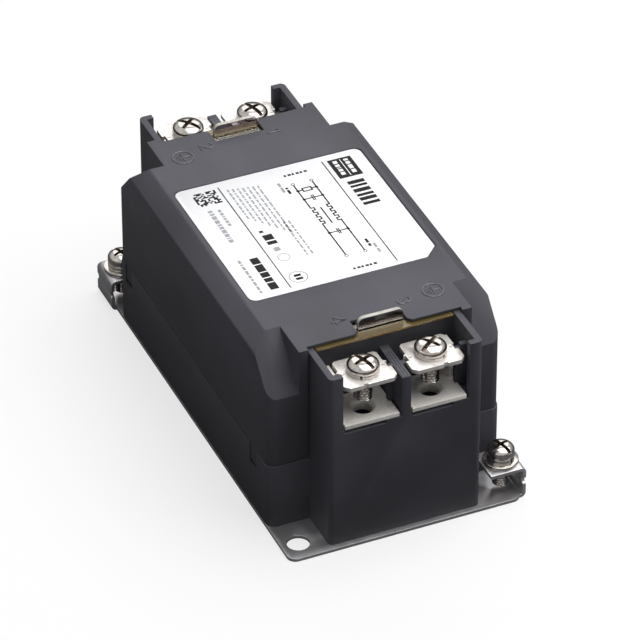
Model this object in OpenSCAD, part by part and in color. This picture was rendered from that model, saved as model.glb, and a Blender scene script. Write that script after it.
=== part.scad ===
// EMI line filter: a moulded two-piece case on a plated steel base plate, with two
// raised-screw terminals at each end and a clear sliding cover over each pair.
// Units are millimetres. +X is the width, +Y the length and +Z up. The origin lies
// under the middle of the base plate. Each end is the other turned half a turn
// about Z, so an end is drawn once, at -Y, and repeated.

/* [Case] */
// Width of the case over its long side walls
body_w = 54; // [50:0.5:64]
// Length of the case between its two end walls
body_l = 84.6; // [80:0.5:100]
// Height of the top face above the surface that the filter stands on
case_top = 45.2; // [44.5:0.1:49]
// Radius of the upright corners of the case
corner_r = 2.2; // [2.1:0.1:4]
// Thickness of the case walls
wall_t = 1.8; // [1.4:0.1:2]
// Thickness of the floor of the lower case
floor_t = 1.8; // [1.4:0.1:2.4]
// Height of the joint between the lower case and the top cover
parting_z = 16.8; // [14:0.2:20]
// How far the lower case stands proud of the top cover
parting_step = 0.2; // [0.1:0.05:0.4]

/* [Top cover] */
// Thickness of the top of the cover
top_t = 2.2; // [2:0.1:2.6]
// Width of the bevel along each long top edge, across the case
bevel_w = 3.6; // [2:0.05:4]
// Height of the bevel along each long top edge
bevel_h = 3.25; // [2:0.05:4]
// Radius that softens each edge of the bevel
bevel_r = 0.9; // [0.4:0.1:1.2]
// Width of the full-height middle between the sloped shoulders
crown_w = 39.6; // [38.6:0.2:42]
// Length of each sloped shoulder, measured along the top
shoulder_l = 10.2; // [8:0.2:12]
// Height at which a sloped shoulder meets the end wall
shoulder_z = 34.1; // [32:0.1:36]
// How far the thin lip over a clear cover stands back from the end wall
lip_setback = 1.4; // [0.8:0.1:1.8]

/* [Snap tongues] */
// Width of a snap tongue along the side wall
tongue_w = 3.4; // [2.6:0.1:4.4]
// Length of a snap tongue below the joint
tongue_l = 4; // [3:0.1:5]
// Thickness of a snap tongue
tongue_t = 0.9; // [0.7:0.1:1]
// Height of the open slot left under each tongue
tongue_slot = 0.9; // [0.6:0.1:1.4]
// Distance of the first tongue on a long side from the middle of the case
tongue_y1 = 34; // [32:0.2:35]
// Distance of the second tongue on a long side from the middle of the case
tongue_y2 = 36.6; // [35:0.2:37]

/* [Base plate] */
// Thickness of the base plate
plate_t = 0.8; // [0.6:0.1:1]
// How far the base plate reaches past each end wall of the case
plate_out = 11.7; // [11.4:0.1:18]
// Radius of the corners of the base plate
plate_r = 2; // [1:0.1:3]
// Diameter of the two mounting holes
mount_d = 5; // [4.5:0.1:5.5]
// Distance of a mounting hole from the long side of the base plate
mount_side = 3.9; // [3.6:0.1:4.4]
// Distance of a mounting hole from the end of the base plate
mount_edge = 4.9; // [4.4:0.1:5.4]

/* [Ground terminals] */
// Height of the top of a folded ground tab
tab_z = 7.8; // [7.6:0.1:9.6]
// Length of a ground tab along the case
tab_l = 8.6; // [8:0.1:9]
// Width of a ground tab across the case, over its fold
tab_w = 8.3; // [8:0.1:9]
// Distance of a ground tab from the end of the base plate
tab_edge = 0.9; // [0.6:0.1:1.4]
// How far the fold of a ground tab stands out past the case
tab_proud = 1.2; // [0.7:0.05:1.3]
// Outer radius of the two bends of a ground tab
bend_r = 1.2; // [1:0.1:1.4]
// Depth of the notch in each upright edge of the fold
fold_notch = 0.8; // [0.4:0.1:1.2]
// Diameter of a ground screw
ground_d = 3.5; // [3:0.5:3.5]
// Diameter of a ground screw head
ground_head_d = 6; // [5.5:0.1:6.5]
// Height of a ground screw head
ground_head_h = 2.6; // [2:0.1:2.8]
// Length of a ground screw under its head
ground_screw_l = 8; // [5:0.5:8]
// Diameter of a ground flat washer
ground_washer_d = 7.8; // [7:0.1:8]
// Thickness of a ground flat washer
ground_washer_t = 0.9; // [0.5:0.1:1]
// Thickness of a ground spring washer
ground_spring_t = 1.2; // [0.9:0.1:1.3]

/* [Terminal block] */
// Width of a terminal block
block_w = 35; // [33.4:0.2:36]
// How far a terminal block reaches out from the end wall of the case
block_l = 10.5; // [10.1:0.1:11]
// Thickness of the side walls of a terminal block
block_wall = 1.5; // [1.2:0.1:1.6]
// Thickness of the front wall and end posts of a terminal block
front_t = 1.5; // [1.2:0.1:1.8]
// Width of the post at each front corner of a terminal block
post_w = 3.1; // [2.8:0.1:3.3]
// Radius of the upright front corners of a terminal block
block_r = 1.2; // [0.6:0.1:1.4]
// Thickness of the divider between the two bays
divider_t = 2.1; // [1.6:0.1:2.2]
// Height of the top of the divider
divider_z = 40.3; // [38:0.1:41]
// Height of the top of a terminal plate
pad_z = 31.4; // [30.5:0.1:32]
// Thickness of the floor of the bays
bay_floor_t = 1.4; // [1.2:0.1:2]
// Distance between the screws of one end, centre to centre
screw_pitch = 15.4; // [15.2:0.1:16]
// Distance of the screws from the end wall of the case
screw_out = 5.3; // [5.2:0.1:5.5]

/* [Terminal parts] */
// Width of a terminal plate
pad_w = 12.4; // [12:0.1:12.6]
// Thickness of a terminal plate
pad_t = 1; // [0.8:0.1:1.2]
// Width of the tail that joins a terminal plate to the circuit board
tail_w = 5; // [3:0.2:6]
// Height of the upright ear beside the clamp washer
ear_h = 8.6; // [6:0.1:8.8]
// Length of the upright ear
ear_l = 3.6; // [2:0.1:4]
// Diameter of a terminal screw
screw_d = 4; // [3.5:0.1:4]
// Diameter of a terminal screw head
head_d = 7; // [6.5:0.1:7.4]
// Height of a terminal screw head
head_h = 2; // [1.8:0.1:2.1]
// Length of a terminal screw under its head
screw_l = 8; // [7:0.5:9]
// Width of the cross recess in a screw head
recess_w = 0.9; // [0.7:0.1:1.1]
// Thickness of the spring washer under a terminal screw head
spring_washer_t = 0.8; // [0.7:0.1:0.9]
// Width of a clamp washer at its front
clamp_w = 12; // [11.4:0.1:12.2]
// Length of a clamp washer
clamp_l = 10; // [9.4:0.1:10]
// Thickness of a clamp washer
clamp_t = 1; // [0.8:0.1:1.1]
// Radial clearance of a screw in a hole
shank_gap = 0.06; // [0.05:0.01:0.1]

/* [Clear covers] */
// Thickness of the clear sheet
sheet_t = 0.5; // [0.4:0.05:0.6]
// Clearance above, below and beside the clear sheet in its slot
sheet_gap = 0.1; // [0.05:0.01:0.1]
// Length of the clear sheet
sheet_l = 15.6; // [14:0.2:18]
// Clearance between the raised screw heads and the clear sheet
head_gap = 0.2; // [0.2:0.05:0.3]
// Thickness of the cover lip over the clear sheet
lip_t = 0.7; // [0.6:0.05:0.9]
// Width of the finger tab on the clear sheet
finger_w = 10.4; // [8:0.2:12]
// Height of the finger tab above the top of the case
finger_h = 2.4; // [1.6:0.1:3]
// Thickness of the finger tab
finger_t = 1; // [0.8:0.1:1.2]
// How far a stored clear sheet stands out past the lip over it
sheet_out = 1; // [0.4:0.1:1.2]
// Distance of the finger tab from the front edge of the sheet
finger_back = 2.4; // [1.6:0.1:3]
// Clearance beside the finger tab in its notch in the lip
finger_gap = 0.5; // [0.4:0.1:1]
// Finger room behind the finger tab in its notch
finger_room = 2.2; // [1.6:0.1:2.6]
// Chamfer at each side of the notch's mouth
finger_mouth = 0.9; // [0.4:0.1:1.2]

/* [Rating label] */
// Width of the label
label_w = 43.8; // [40:0.2:44]
// Length of the label
label_l = 43.4; // [38:0.2:46]
// Thickness of the label
label_t = 0.15; // [0.1:0.01:0.2]
// Depth of the recess that holds the label
label_recess = 0.25; // [0.2:0.05:0.4]
// Margin of the recess round the label
label_margin = 0.25; // [0.15:0.05:0.4]
// Radius of the three round corners of the label
label_r = 1.8; // [1:0.1:3]
// Length of the cut corner of the label
label_cut = 3.1; // [2:0.1:5]

/* [Filter parts] */
// Diameter of the posts that are staked into the base plate
stake_d = 3; // [2.4:0.1:4]
// Diameter of the screws that hold the circuit board
board_screw_d = 3; // [2.5:0.5:3]
// Length of the screws that hold the circuit board
board_screw_l = 5; // [4:0.5:6]
// Height of the circuit board above the floor of the case
board_lift = 3.2; // [2.4:0.1:5]
// Thickness of the circuit board
board_t = 1.6; // [1:0.2:2]
// Outer diameter of the choke core
core_od = 36; // [30:0.5:38]
// Inner diameter of the choke core
core_id = 20; // [16:0.5:22]
// Height of the choke core
core_h = 19; // [12:0.5:22]
// Thickness of the choke winding
wire_t = 1.5; // [1.2:0.1:1.6]
// Number of turns on each half of the choke
turns = 11; // [7:1:12]
// Thickness of the base under the choke
choke_base_t = 1.5; // [1:0.1:2.5]
// Length of a line capacitor
x_cap_l = 26.5; // [18:0.5:28]
// Width of a line capacitor
x_cap_w = 12; // [8:0.5:13]
// Height of a line capacitor
x_cap_h = 22; // [14:0.5:26]
// Distance of a line capacitor from the end of the circuit board's wide part
x_cap_end = 10.6; // [10.2:0.1:11]
// Diameter of an earth capacitor
y_cap_d = 9; // [7:0.5:11]
// Thickness of an earth capacitor
y_cap_t = 3.6; // [3:0.1:4.4]
// Diameter of the discharge resistor
resistor_d = 3.4; // [2.4:0.1:4]
// Length of the discharge resistor
resistor_l = 9; // [7:0.5:12]

/* [Hidden] */
$fn = 64;
cut = 1;                                  // how far a cutting shape runs past a face
touch_gap = 0.1;                          // clearance between pieces that only meet

half_w = body_w / 2;
half_l = body_l / 2;
cover_half_w = half_w - parting_step;
end_y = half_l + block_l;                 // front face of a terminal block
lip_y = half_l - lip_setback;             // front edge of the lip over a clear cover
plate_l = body_l + 2 * plate_out;
plate_half_l = plate_l / 2;
mount_x = half_w - mount_side;
floor_z = plate_t + floor_t;

// Clear sheet, from the top of the case down
sheet_top = case_top - lip_t - sheet_gap;
sheet_z = sheet_top - sheet_t;
rail_z = sheet_z - sheet_gap / 2;         // ledge that a clear sheet slides on
sheet_side = 0.3;                         // clearance beside a sheet between the block's walls
sheet_w = block_w - 2 * block_wall - 2 * sheet_side;
sheet_y = lip_y + sheet_out;              // front edge of a stored sheet
post_back_y = end_y - front_t;            // face that stops a sheet

// Terminals: the stack of one screw, from its head down
screw_x = screw_pitch / 2;
screw_y = half_l + screw_out;
head_top = sheet_z - head_gap;
head_z = head_top - head_h;               // underside of a raised head
clamp_top = head_z - spring_washer_t;
clamp_z = clamp_top - clamp_t;
screw_travel = clamp_z - pad_z - touch_gap;
tip_z = head_z - screw_l;                 // tip of a raised screw
well_room = 0.8;                          // room under the tip of a driven screw
well_z = tip_z - screw_travel - well_room; // bottom of the well for a driven screw
bay_floor_z = pad_z - pad_t;
back_room = 1.7;                          // room behind a clamp washer
back_wall_y = screw_y - clamp_l / 2 - back_room; // face of the wall behind the bays
back_wall_t = 1.4;
block_back_y = back_wall_y - back_wall_t;
bay_outer_x = block_w / 2 - block_wall;
post_x = block_w / 2 - post_w;
collar_r = screw_d / 2 + 0.9;             // extruded collar under a terminal plate
collar_l = 1.5;
countersink = 0.6;                        // lead-in of the tapped hole
hole_r = screw_d / 2 + shank_gap;
guide_w = 1.3;                            // width of the upright guide ribs in a bay
slot_turns = [70, 35, 72, 128];           // turns of the slots of screws 1 to 4
rib_top = 0.3;                            // how far a guide rib stands over a raised washer
guide_in = 0.4;                           // how far a rib reaches into a washer's notch
ear_t = 0.8;                              // thickness of a terminal plate's ear
clamp_cut = 1.1;                          // cut across the front corners of a clamp washer
well_wall = 1.4;

// Ground terminals
ground_x = half_w + tab_proud - tab_w / 2;
ground_y = plate_half_l - tab_edge - tab_l / 2;
ground_hole_r = ground_d / 2 + shank_gap;
ground_collar = 1;                        // collar under a ground tab, for more thread
ground_head_z = tab_z + ground_washer_t + ground_spring_t;

// Circuit board and what stands on it
board_z = floor_z + board_lift;
board_top = board_z + board_t;
board_room = 1.6;                         // room round the board inside the case
board_w = body_w - 2 * (wall_t + board_room);
board_l = body_l - 2 * (wall_t + board_room);
board_end_w = block_w - 2 * block_wall - 2;
tail_y = back_wall_y + 1.3;               // inner face of a terminal plate's tail
board_end_y = tail_y + 2.4;
x_cap_y = board_l / 2 - x_cap_end;
ear_front = screw_y - tail_y - ear_l;     // front edge of an ear, from the screw's axis
boss_x = board_w / 2 - 4;
boss_y = board_l / 2 - 4;
boss_r = board_screw_d / 2 + 1.3;
stake_x = boss_x - 9;
stake_y = boss_y;
stake_spread = plate_t - 0.2;             // how far a post's end is spread all round
choke_z = board_top + choke_base_t;
core_z = choke_z + wire_t + 0.3;
turn_step = 112 / (turns - 1);
lead_d = 0.7;                             // leads of the small parts on the board
strap_w = 5;
strap_x = board_w / 2 - strap_w - 1;
strap_t = 0.6;

// Draws its children at the -Y end, and again turned half a turn for the +Y end.
module at_both_ends() {
    children();
    rotate([0, 0, 180]) children();
}

// A rectangle centred on the origin with four true round corners.
module rounded_rect(w, l, r) {
    square([w - 2 * r, l], center = true);
    square([w, l - 2 * r], center = true);
    for (x = [-1, 1], y = [-1, 1])
        translate([x * (w / 2 - r), y * (l / 2 - r)]) circle(r);
}

// A box given by its low and high corner.
module span(low, high) {
    translate(low) cube(high - low);
}

// Points of a round stretch about c, from angle a0 to a1.
function arc(c, r, a0, a1, steps = 4) =
    [for (i = [0:steps]) let (a = a0 + (a1 - a0) * i / steps)
        [c[0] + r * cos(a), c[1] + r * sin(a)]];

// Half outline of the cover across the case: side wall, bevel and top, inset by t.
// The bevel's two edges are softened by arcs of radius r.
function cover_half(t, top, r) =
    let (x = cover_half_w - t,
         slope = atan(bevel_h / bevel_w),
         low_z = top - bevel_h,
         top_x = x - bevel_w,
         low_run = r * tan((90 - slope) / 2),
         top_run = r * tan(slope / 2))
    concat(arc([x - r, low_z - low_run], r, 0, 90 - slope),
           arc([top_x - top_run, top - r], r, 90 - slope, 90));

module cover_outline(t, top, bottom, r) {
    half = cover_half(t, top, r);
    mirrored = [for (i = [len(half) - 1:-1:0]) [-half[i][0], half[i][1]]];
    polygon(concat([[cover_half_w - t, bottom]], half, mirrored,
                   [[t - cover_half_w, bottom]]));
}

// The wedge above a sloped shoulder, moved down and inwards by t.
module shoulder_cut(t) {
    slope = atan((case_top - shoulder_z) / shoulder_l);
    down = t / cos(slope);
    for (side = [-1, 1]) scale([side, 1, 1])
        translate([crown_w / 2 - t, 0, 0])
            rotate([90, 0, 90]) linear_extrude(half_w)
                polygon([[-half_l + shoulder_l + cut / tan(slope), case_top + cut - down],
                         [-half_l - cut, shoulder_z - cut * tan(slope) - down],
                         [-half_l - cut, case_top + cut]]);
}

// Sheet steel plate with its two ground terminals folded up from it.
module base_plate() {
    color("silver") difference() {
        union() {
            linear_extrude(plate_t) rounded_rect(body_w, plate_l, plate_r);
            at_both_ends() ground_fold();
        }
        at_both_ends() translate([-mount_x, mount_edge - plate_half_l, -cut])
            cylinder(d = mount_d, h = plate_t + 2 * cut);
        for (x = [-1, 1], y = [-1, 1]) translate([x * stake_x, y * stake_y, 0])
            staked_post(shank_gap);
    }
}

// The sheet folded up at the long edge and in again over the plate, and its tapped
// collar. Its two upright edges are notched at mid height.
module ground_fold() {
    x1 = half_w + tab_proud;
    y0 = tab_edge - plate_half_l;
    mid = (tab_z + plate_t) / 2;
    collar_z = tab_z - plate_t - ground_collar;
    difference() {
        union() {
            translate([x1, y0 + tab_l, 0]) rotate([90, 0, 0]) linear_extrude(tab_l) difference() {
                fold_outline(0);
                fold_outline(plate_t);
            }
            translate([ground_x, -ground_y, collar_z])
                cylinder(r = ground_d / 2 + plate_t, h = ground_collar + plate_t / 2);
        }
        translate([ground_x, -ground_y, collar_z - cut])
            cylinder(r = ground_hole_r, h = ground_collar + plate_t + 2 * cut);
        for (y = [y0, y0 + tab_l]) translate([x1 + cut, y, mid]) rotate([0, -90, 0])
            cylinder(r = fold_notch, h = plate_t + 2 * cut);
    }
}

// Outline of the fold seen from the end, inset by t: open inwards, with a round bend
// at the top and the bottom of its outer side, which stands at x = 0.
module fold_outline(t) {
    r = bend_r - t;
    translate([-tab_w - t, t]) square([tab_w - bend_r + t, tab_z - 2 * t]);
    translate([-bend_r - t, bend_r]) square([bend_r, tab_z - 2 * bend_r]);
    for (z = [bend_r, tab_z - bend_r]) translate([-bend_r, z]) circle(r);
}

// Lower case: a tub with a terminal block at each end.
module case_base() {
    color("dimgray") difference() {
        union() {
            difference() {
                translate([0, 0, plate_t]) linear_extrude(parting_z - plate_t)
                    rounded_rect(body_w, body_l, corner_r);
                translate([0, 0, floor_z]) linear_extrude(parting_z)
                    square([body_w - 2 * wall_t, body_l - 2 * wall_t], center = true);
            }
            at_both_ends() block_shell();
            for (x = [-1, 1], y = [-1, 1]) translate([x * boss_x, y * boss_y, floor_z])
                cylinder(r = boss_r, h = board_lift);
            for (x = [-1, 1], y = [-1, 1]) translate([x * stake_x, y * stake_y, 0])
                staked_post(0);
        }
        at_both_ends() {
            block_hollows();
            for (t = [[-1, tongue_y1], [1, tongue_y2]]) scale([t[0], 1, 1])
                span([half_w - tongue_t - touch_gap, -t[1] - tongue_w / 2 - touch_gap,
                      parting_z - tongue_l - tongue_slot],
                     [half_w + cut, -t[1] + tongue_w / 2 + touch_gap, parting_z + cut]);
        }
        for (x = [-1, 1], y = [-1, 1]) translate([x * boss_x, y * boss_y, board_top])
            board_screw_hole();
        span([strap_x - touch_gap, -touch_gap - strap_t, 0],
             [strap_x + strap_w + touch_gap, touch_gap, floor_z + cut]);
    }
}

// Moulded post whose end is spread flush in a countersunk hole of the base plate,
// drawn g larger all round to cut that hole.
module staked_post(g) {
    translate([0, 0, g > 0 ? -cut : touch_gap]) cylinder(d = stake_d + 2 * g, h = plate_t + 2 * cut);
    translate([0, 0, g > 0 ? -cut : touch_gap])
        cylinder(r1 = stake_d / 2 + stake_spread + g + (g > 0 ? cut : -touch_gap),
                 r2 = stake_d / 2 + g, h = stake_spread + (g > 0 ? cut : -touch_gap));
}

// Hole for a screw of the circuit board, down from the top of the board.
module board_screw_hole() {
    translate([0, 0, -board_screw_l - 0.3])
        cylinder(d = board_screw_d + 2 * shank_gap, h = board_screw_l + 0.3 + cut);
}

// Outer form of a terminal block, with round front corners.
module block_shell() {
    translate([0, 0, plate_t]) linear_extrude(sheet_top - plate_t) {
        translate([-block_w / 2, block_r - end_y])
            square([block_w, end_y - block_r - block_back_y]);
        translate([block_r - block_w / 2, -end_y]) square([block_w - 2 * block_r, block_r]);
        for (x = [-1, 1]) translate([x * (block_w / 2 - block_r), block_r - end_y])
            circle(block_r);
    }
}

// Everything cut from a block: the cavity under the bays, the bays with their guide
// ribs, wells and slots, and the way for the clear sheet.
module block_hollows() {
    // cavity under the bay floor, open to the case
    difference() {
        span([-bay_outer_x, front_t - end_y, floor_z],
             [bay_outer_x, -half_l + wall_t + cut, bay_floor_z - bay_floor_t]);
        for (x = [-screw_x, screw_x]) translate([x, -screw_y, well_z - well_wall])
            cylinder(r = collar_r + 0.3 + well_wall, h = case_top);
    }
    span([-bay_outer_x, -half_l, parting_z],
         [bay_outer_x, -block_back_y + cut, bay_floor_z - bay_floor_t]);
    // the two bays
    for (x = [-screw_x, screw_x]) bay(x);
    // way for the clear sheet, over the back wall, the divider and the rails
    span([-(sheet_w + sheet_side) / 2, -post_back_y, rail_z],
         [(sheet_w + sheet_side) / 2, cut - block_back_y, case_top + cut]);
    span([-post_x, -end_y - cut, divider_z], [post_x, -back_wall_y, case_top + cut]);
}

// One bay about x: the room over the terminal plate, and what lies under it.
module bay(x) {
    outer = sign(x) * bay_outer_x;
    inner = sign(x) * divider_t / 2;
    post = sign(x) * post_x;
    difference() {
        span([min(inner, outer), -post_back_y, bay_floor_z],
             [max(inner, outer), -back_wall_y, case_top + cut]);
        for (side = [inner, outer]) {
            in = side + sign(x - side) * (abs(x - side) - clamp_w / 2 + guide_in);
            span([min(side, in), -screw_y - guide_w / 2, bay_floor_z + pad_t + touch_gap],
                 [max(side, in), -screw_y + guide_w / 2, clamp_top + rib_top]);
        }
    }
    span([min(inner, post), -end_y - cut, bay_floor_z],
         [max(inner, post), cut - post_back_y, case_top + cut]);
    // shallow window under the front edge of the plate
    span([x - pad_w / 2 - 0.2, -end_y - cut, bay_floor_z - 0.8],
         [x + pad_w / 4, 0.6 - end_y, bay_floor_z + cut]);
    // well for the screw, and the slot for the plate's tail
    translate([x, -screw_y, well_z]) cylinder(r = collar_r + 0.3, h = pad_z - well_z);
    span([x - tail_w / 2 - touch_gap, -tail_y - pad_t - touch_gap, board_top],
         [x + tail_w / 2 + touch_gap, touch_gap - tail_y, bay_floor_z + cut]);
}

// Upper case, lowered over the tub, with two snap tongues on each long side.
module top_cover() {
    color([0.27, 0.27, 0.3]) difference() {
        union() {
            difference() {
                intersection() {
                    rotate([90, 0, 0]) linear_extrude(body_l, center = true)
                        cover_outline(0, case_top, parting_z, bevel_r);
                    linear_extrude(case_top)
                        rounded_rect(2 * cover_half_w, body_l - 2 * parting_step, corner_r);
                }
                difference() {
                    rotate([90, 0, 0]) linear_extrude(body_l - 2 * wall_t, center = true)
                        cover_outline(wall_t, case_top - top_t, parting_z - cut, bevel_r);
                    at_both_ends() shoulder_cut(wall_t);
                }
                at_both_ends() shoulder_cut(0);
            }
            at_both_ends() for (t = [[-1, tongue_y1], [1, tongue_y2]]) scale([t[0], 1, 1])
                span([half_w - tongue_t, -t[1] - tongue_w / 2, parting_z - tongue_l],
                     [cover_half_w, -t[1] + tongue_w / 2, parting_z + wall_t]);
        }
        at_both_ends() cover_end_cuts();
        translate([0, 0, case_top - label_recess]) linear_extrude(label_recess + cut)
            label_outline(label_margin);
    }
}

// Openings at one end of the cover: the gap for the terminal block, the slot that
// stores the clear sheet, and the notch for its finger tab.
module cover_end_cuts() {
    x = block_w / 2 + touch_gap;
    span([-x, -half_l - cut, parting_z - cut], [x, touch_gap - block_back_y, sheet_top + sheet_gap]);
    span([-x, -half_l - cut, parting_z], [x, -lip_y, case_top + cut]);
    span([-sheet_w / 2 - 2 * sheet_gap, -half_l, rail_z],
         [sheet_w / 2 + 2 * sheet_gap, -sheet_y + sheet_l + sheet_gap, sheet_top + sheet_gap]);
    notch = finger_w / 2 + finger_gap;
    mouth = notch + finger_mouth;
    translate([0, 0, sheet_z]) linear_extrude(case_top - sheet_z + cut)
        polygon([[-mouth - cut, -lip_y - cut], [mouth + cut, -lip_y - cut],
                 [notch, finger_mouth - lip_y],
                 [notch, finger_back + finger_t + finger_room - sheet_y],
                 [-notch, finger_back + finger_t + finger_room - sheet_y],
                 [-notch, finger_mouth - lip_y]]);
}

// Outline of the label, grown by m: three round corners and one cut corner.
module label_outline(m) {
    difference() {
        rounded_rect(label_w + 2 * m, label_l + 2 * m, label_r);
        translate([label_w / 2 + m, -label_l / 2 - m]) rotate(45)
            square([label_cut * sqrt(2), label_cut * sqrt(2)], center = true);
    }
}

// Printed film label in its recess.
module rating_label() {
    color("white") translate([0, 0, case_top - label_recess]) linear_extrude(label_t)
        label_outline(0);
}

// Clear sheet with an upright finger tab, stored under the lip of the top cover.
module clear_cover() {
    color([0.9, 0.8, 0.45, 0.5]) {
        span([-sheet_w / 2, -sheet_y, sheet_z], [sheet_w / 2, sheet_l - sheet_y, sheet_top]);
        translate([0, finger_back - sheet_y, sheet_z + sheet_t / 2])
            rotate([90, 0, 0]) mirror([0, 0, 1]) linear_extrude(finger_t) finger_outline();
    }
}

// Finger tab seen from the end: upright, with two round top corners.
module finger_outline() {
    r = 1.4;
    h = case_top + finger_h - sheet_z - sheet_t / 2;
    translate([-finger_w / 2, 0]) square([finger_w, h - r]);
    translate([r - finger_w / 2, 0]) square([finger_w - 2 * r, h]);
    for (x = [-1, 1]) translate([x * (finger_w / 2 - r), h - r]) circle(r);
}

// Places a terminal piece: 1 and 2 are left and right at the -Y end, 3 and 4 follow
// half a turn round at the +Y end. Children are drawn about the screw's axis, with
// +X pointing away from the divider.
module at_terminal(i) {
    rotate([0, 0, i > 2 ? 180 : 0]) mirror([i % 2, 0, 0])
        translate([screw_x, -screw_y, 0]) children();
}

// Terminal plate: a tapped pad with an upright ear and a tail down to the board.
module terminal_plate() {
    front = screw_y - end_y + 0.15;
    back = screw_y - tail_y;
    color("lightgray") difference() {
        union() {
            span([-pad_w / 2, front, bay_floor_z], [pad_w / 2, back, pad_z]);
            span([pad_w / 2 - ear_t, ear_front, bay_floor_z], [pad_w / 2, back, pad_z + ear_h]);
            span([-tail_w / 2, back - pad_t, board_top], [tail_w / 2, back, pad_z]);
            translate([0, 0, bay_floor_z - collar_l]) cylinder(r = collar_r, h = collar_l + pad_t);
        }
        translate([0, 0, bay_floor_z - collar_l - cut])
            cylinder(r = hole_r, h = collar_l + pad_t + 2 * cut);
        translate([0, 0, pad_z - countersink])
            cylinder(r1 = hole_r, r2 = hole_r + countersink + cut, h = countersink + cut);
    }
}

// Clamp washer: wide over the wire at its front and narrower behind, where it
// passes the plate's ear, with side notches for the guide ribs and a front nick.
module clamp_washer() {
    w = clamp_w / 2;
    l = clamp_l / 2;
    back_w = pad_w / 2 - ear_t - 0.3;
    notch = guide_in + 0.35;
    color("gainsboro") translate([0, 0, clamp_z]) difference() {
        linear_extrude(clamp_t) difference() {
            polygon([[-w, clamp_cut - l], [clamp_cut - w, -l], [w - clamp_cut, -l],
                     [w, clamp_cut - l], [w, ear_front - 1], [back_w, ear_front - 0.3],
                     [back_w, l - 0.6], [back_w - 0.6, l], [0.6 - back_w, l],
                     [-back_w, l - 0.6], [-back_w, ear_front - 0.3], [-w, ear_front - 1]]);
            for (x = [-w, w]) translate([x, 0])
                square([2 * notch, guide_w + 0.6], center = true);
            translate([1.4, -l]) square([1, 0.8], center = true);
        }
        translate([0, 0, -cut]) cylinder(r = hole_r, h = clamp_t + 2 * cut);
    }
}

// A split spring washer of inner radius r1 and outer radius r2.
module split_washer(r1, r2, t) {
    difference() {
        cylinder(r = r2, h = t);
        translate([0, 0, -cut]) cylinder(r = r1, h = t + 2 * cut);
        rotate([0, 0, -60]) translate([r1 / 2, -0.25, -cut]) cube([r2, 0.5, t + 2 * cut]);
    }
}

module spring_washer() {
    color("gray") translate([0, 0, clamp_top]) split_washer(hole_r, head_d / 2, spring_washer_t);
}

// A pan head screw with its underside at z = 0: a domed head, a slot right across
// with a deeper cross in its middle, and a plain shank with a chamfered tip.
module pan_screw(d, l, dia, h) {
    dome = h * 0.55;
    r = (pow(dia / 2, 2) + dome * dome) / (2 * dome);
    difference() {
        union() {
            intersection() {
                cylinder(d = dia, h = h);
                translate([0, 0, h - r]) sphere(r);
            }
            translate([0, 0, 0.4 - l]) cylinder(d = d, h = l - 0.4);
            translate([0, 0, -l]) cylinder(d1 = d - 0.8, d2 = d, h = 0.4);
        }
        translate([-dia, -recess_w / 2, h * 0.62]) cube([2 * dia, recess_w, h]);
        for (a = [0, 90]) rotate([0, 0, a])
            translate([-dia * 0.29, -recess_w / 2, h * 0.35]) cube([dia * 0.58, recess_w, h]);
    }
}

module terminal_screw(i) {
    color("silver") translate([0, 0, head_z]) rotate([0, 0, slot_turns[i - 1]])
        pan_screw(screw_d, screw_l, head_d, head_h);
}

module ground_screws() {
    color("silver") at_both_ends() translate([ground_x, -ground_y, ground_head_z])
        rotate([0, 0, 108]) pan_screw(ground_d, ground_screw_l, ground_head_d, ground_head_h);
}

module ground_spring_washers() {
    color("gray") at_both_ends() translate([ground_x, -ground_y, tab_z + ground_washer_t])
        split_washer(ground_hole_r, ground_head_d / 2, ground_spring_t);
}

module ground_flat_washers() {
    color("silver") at_both_ends() translate([ground_x, -ground_y, tab_z]) difference() {
        cylinder(d = ground_washer_d, h = ground_washer_t);
        translate([0, 0, -cut]) cylinder(r = ground_hole_r, h = ground_washer_t + 2 * cut);
    }
}

// Board on the bosses of the lower case, with a narrower tongue into each block.
module circuit_board() {
    color("darkgreen") difference() {
        translate([0, 0, board_z]) linear_extrude(board_t) {
            square([board_w, board_l], center = true);
            square([board_end_w, 2 * board_end_y], center = true);
        }
        for (x = [-1, 1], y = [-1, 1]) translate([x * boss_x, y * boss_y, board_top])
            board_screw_hole();
    }
}

module board_screws() {
    color("silver") for (x = [-1, 1], y = [-1, 1])
        translate([x * boss_x, y * boss_y, board_top])
            pan_screw(board_screw_d, board_screw_l, 1.8 * board_screw_d, 1.7);
}

// Insulating base that spaces the choke off the board.
module choke_base() {
    color("tan") translate([0, 0, board_top]) difference() {
        cylinder(d = core_od + 2, h = choke_base_t);
        translate([0, 0, -cut]) cylinder(d = core_id - 4, h = choke_base_t + 2 * cut);
    }
}

// Ring core with rounded edges.
module choke_core() {
    r = 1.2;
    color("darkolivegreen") translate([0, 0, core_z]) rotate_extrude()
        translate([(core_od + core_id) / 4, core_h / 2])
            rounded_rect((core_od - core_id) / 2, core_h, r);
}

// One half winding: turns that wrap the ring's section, spread about the +X side.
module winding() {
    gap = 0.1;
    ring_w = (core_od - core_id) / 2;
    for (i = [0:turns - 1]) rotate([0, 0, (i - (turns - 1) / 2) * turn_step])
        translate([(core_od + core_id) / 4, 0, core_z + core_h / 2]) rotate([90, 0, 0])
            linear_extrude(wire_t * 0.92, center = true) difference() {
                rounded_rect(ring_w + 2 * (wire_t + gap), core_h + 2 * (wire_t + gap), 2);
                square([ring_w + 2 * gap, core_h + 2 * gap], center = true);
            }
}

module line_winding() {
    color("peru") winding();
}

module neutral_winding() {
    color("peru") rotate([0, 0, 180]) winding();
}

// Box film capacitor standing on the board, at y.
module x_capacitor(y) {
    color("goldenrod") translate([0, y, board_top]) linear_extrude(x_cap_h)
        rounded_rect(x_cap_l, x_cap_w, 0.8);
}

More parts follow.
